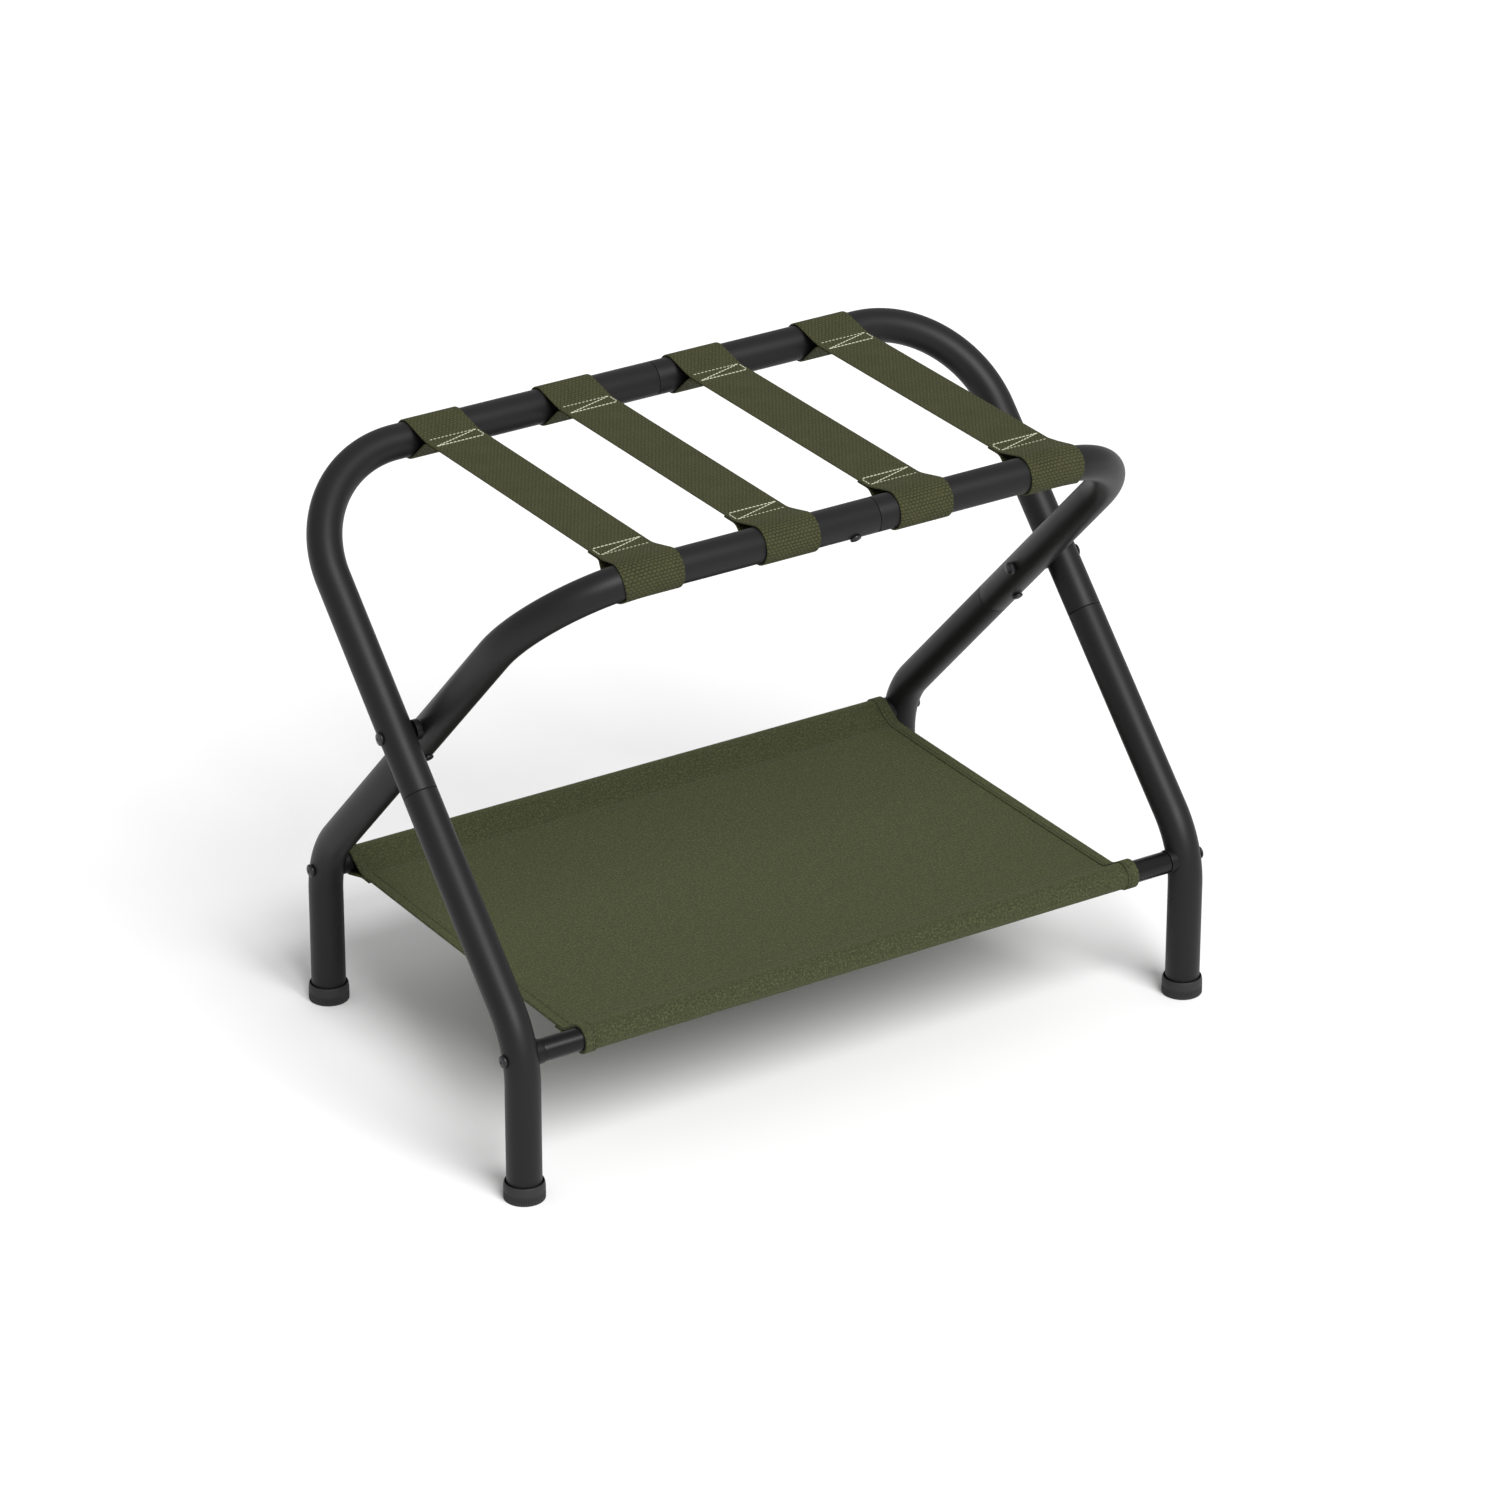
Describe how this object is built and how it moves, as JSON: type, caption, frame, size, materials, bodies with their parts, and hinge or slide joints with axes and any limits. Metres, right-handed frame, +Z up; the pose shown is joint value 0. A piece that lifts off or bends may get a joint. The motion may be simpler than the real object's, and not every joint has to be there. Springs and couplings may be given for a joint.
{
  "type": "folding luggage rack",
  "caption": "X-frame folding luggage rack of bent black tube with olive webbing straps on top and a canvas shelf between the legs.",
  "frame": {"origin": "on the floor, midway between the four feet of the open rack", "axes": "+X along the top bars to the right, +Y to the back, +Z up; the outer frame has its feet at -Y"},
  "size_m": [0.6776, 0.41, 0.5167],
  "materials": {
    "tube_paint": "fine satin charcoal powder coat",
    "shelf_bar_paint": "smooth satin black paint",
    "foot_plastic": "moulded matt charcoal plastic with a ribbed band",
    "cap_plastic": "black moulded plastic",
    "black_fastener": "black oxide steel screws and bolts",
    "strap_webbing": "olive polypropylene webbing with a crosswise woven rib",
    "shelf_canvas": "olive woven canvas with stitched hems"
  },
  "bodies": {
    "outer_frame": {"outer_upper_left": "tube_paint", "outer_upper_right": "tube_paint", "outer_leg_left": "tube_paint", "outer_leg_right": "tube_paint", "outer_top_screw": "black_fastener", "outer_side_screw_left": "black_fastener", "outer_side_screw_right": "black_fastener", "shelf_bar_front": "shelf_bar_paint", "bar_cap_front_left": "cap_plastic", "bar_cap_front_right": "cap_plastic", "bar_screw_front_left": "black_fastener", "bar_screw_front_right": "black_fastener", "foot_front_left": "foot_plastic", "foot_front_right": "foot_plastic", "pivot_bolt_left": "black_fastener", "pivot_bolt_right": "black_fastener", "pivot_nut_left": "black_fastener", "pivot_nut_right": "black_fastener", "pivot_spacer_left": "cap_plastic", "pivot_spacer_right": "cap_plastic"},
    "inner_frame": {"inner_upper_left": "tube_paint", "inner_upper_right": "tube_paint", "inner_leg_left": "tube_paint", "inner_leg_right": "tube_paint", "inner_top_screw": "black_fastener", "inner_side_screw_left": "black_fastener", "inner_side_screw_right": "black_fastener", "shelf_bar_rear": "shelf_bar_paint", "bar_cap_rear_left": "cap_plastic", "bar_cap_rear_right": "cap_plastic", "bar_screw_rear_left": "black_fastener", "bar_screw_rear_right": "black_fastener", "foot_rear_left": "foot_plastic", "foot_rear_right": "foot_plastic"},
    "straps_rear": {"strap_1_rear_half": "strap_webbing", "strap_2_rear_half": "strap_webbing", "strap_3_rear_half": "strap_webbing", "strap_4_rear_half": "strap_webbing"},
    "straps_front": {"strap_1_front_half": "strap_webbing", "strap_2_front_half": "strap_webbing", "strap_3_front_half": "strap_webbing", "strap_4_front_half": "strap_webbing"},
    "shelf_front": {"shelf_front_half": "shelf_canvas"},
    "shelf_rear": {"shelf_rear_half": "shelf_canvas"}
  },
  "joints": [
    {"name": "fold", "type": "hinge", "parent": "outer_frame", "child": "inner_frame", "pos_m": [0, 0, 0.33], "axis": [-1, 0, 0], "range_deg": [0, 76]},
    {"name": "strap_rear_swing", "type": "hinge", "parent": "outer_frame", "child": "straps_rear", "pos_m": [0, 0.16394, 0.49976], "axis": [1, 0, 0], "range_deg": [0, 46.7]},
    {"name": "strap_middle_fold", "type": "hinge", "parent": "straps_rear", "child": "straps_front", "pos_m": [0, 0, 0.50926], "axis": [-1, 0, 0], "range_deg": [0, 169.4], "deforming": ["strap_1_front_half", "strap_2_front_half", "strap_3_front_half", "strap_4_front_half"]},
    {"name": "shelf_front_swing", "type": "hinge", "parent": "outer_frame", "child": "shelf_front", "pos_m": [0, -0.18469, 0.12448], "axis": [1, 0, 0], "range_deg": [0, 47.2]},
    {"name": "shelf_middle_fold", "type": "hinge", "parent": "shelf_front", "child": "shelf_rear", "pos_m": [0, 0, 0.12108], "axis": [-1, 0, 0], "range_deg": [0, 170.4], "deforming": ["shelf_rear_half"]}
  ],
  "couplings": [
    {"joint": "strap_rear_swing", "follows": "fold", "ratio": 0.61417},
    {"joint": "strap_middle_fold", "follows": "fold", "ratio": 2.2283},
    {"joint": "shelf_front_swing", "follows": "fold", "ratio": 0.62039},
    {"joint": "shelf_middle_fold", "follows": "fold", "ratio": 2.2408}
  ]
}
